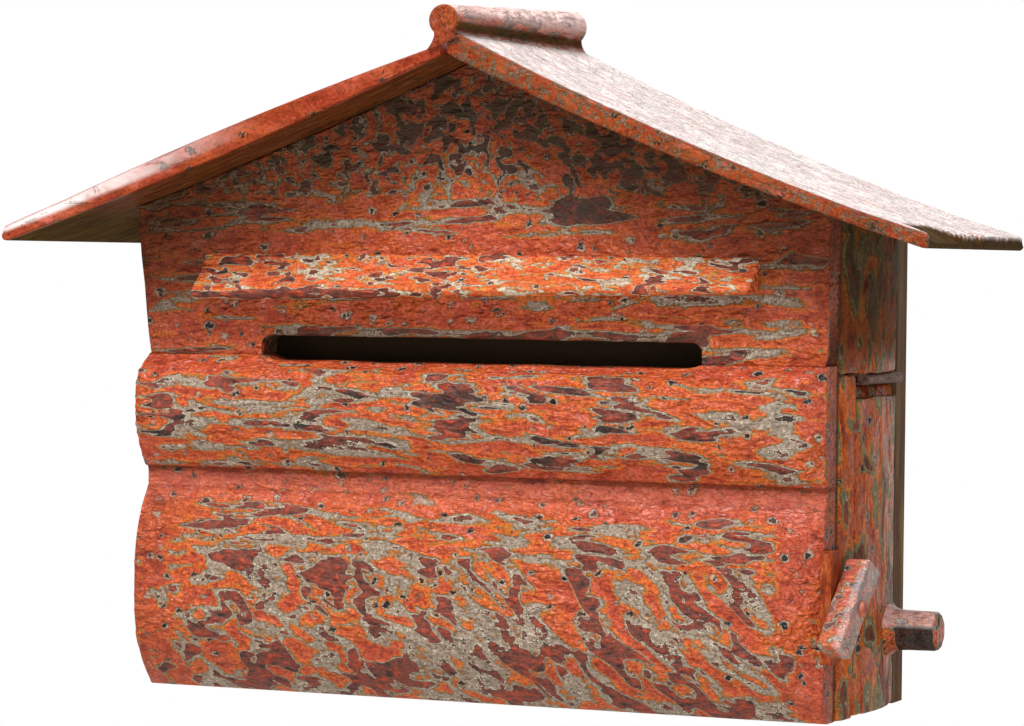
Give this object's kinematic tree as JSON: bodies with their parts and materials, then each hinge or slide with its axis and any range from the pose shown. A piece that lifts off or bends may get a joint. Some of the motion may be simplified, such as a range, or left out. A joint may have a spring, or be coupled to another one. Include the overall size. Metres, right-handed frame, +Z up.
{
  "type": "wall mounted mailbox",
  "caption": "House-shaped wooden wall letterbox in worn layered paint, with an open letter slot under a hood and a top-hinged side door with a peg knob and turn button.",
  "frame": {"origin": "centre of the four wall-screw holes, on the wall plane", "axes": "+X to the right seen from the front, +Y into the wall, +Z up"},
  "size_m": [0.5289, 0.176, 0.3769],
  "materials": {
    "front_paint": "layered gloss paint, sanded through",
    "side_paint": "layered gloss paint, sanded through",
    "roof_paint": "gloss paint, worn",
    "ridge_paint": "gloss paint",
    "knob_paint": "gloss paint, worn",
    "button_paint": "gloss paint, worn",
    "bare_wood": "bare softwood",
    "hinge_steel": "rusted",
    "screw_steel": "dull"
  },
  "bodies": {
    "root": {"gable_board": "front_paint", "slot_hood": "front_paint", "middle_course": "front_paint", "bottom_course": "front_paint", "left_side": "side_paint", "right_upper_panel": "side_paint", "right_front_stile": "side_paint", "back_board": "side_paint", "left_roof_board": "roof_paint", "right_roof_board": "roof_paint", "ridge_roll": "ridge_paint", "floor_board": "bare_wood", "button_spacer": "bare_wood", "front_dowels": "bare_wood", "roof_dowels": "bare_wood", "floor_dowels": "bare_wood", "hinge_frame_leaf": "hinge_steel", "hinge_pin": "hinge_steel", "button_screw": "screw_steel", "hinge_frame_screws": "screw_steel", "back_screws": "screw_steel", "hood_screws": "screw_steel"},
    "door": {"side_door": "side_paint", "door_knob": "knob_paint", "knob_screw": "screw_steel", "hinge_door_leaf": "hinge_steel", "hinge_door_screws": "screw_steel"},
    "turn_button": {"turn_button": "button_paint"}
  },
  "joints": [
    {"name": "door_hinge", "type": "hinge", "parent": "root", "child": "door", "pos_m": [0.2005, -0.0515, 0.0365], "axis": [0, -1, 0], "range_deg": [0, 100]},
    {"name": "button_turn", "type": "hinge", "parent": "root", "child": "turn_button", "pos_m": [0.204, -0.131, -0.079], "axis": [1, 0, 0], "continuous": true}
  ]
}
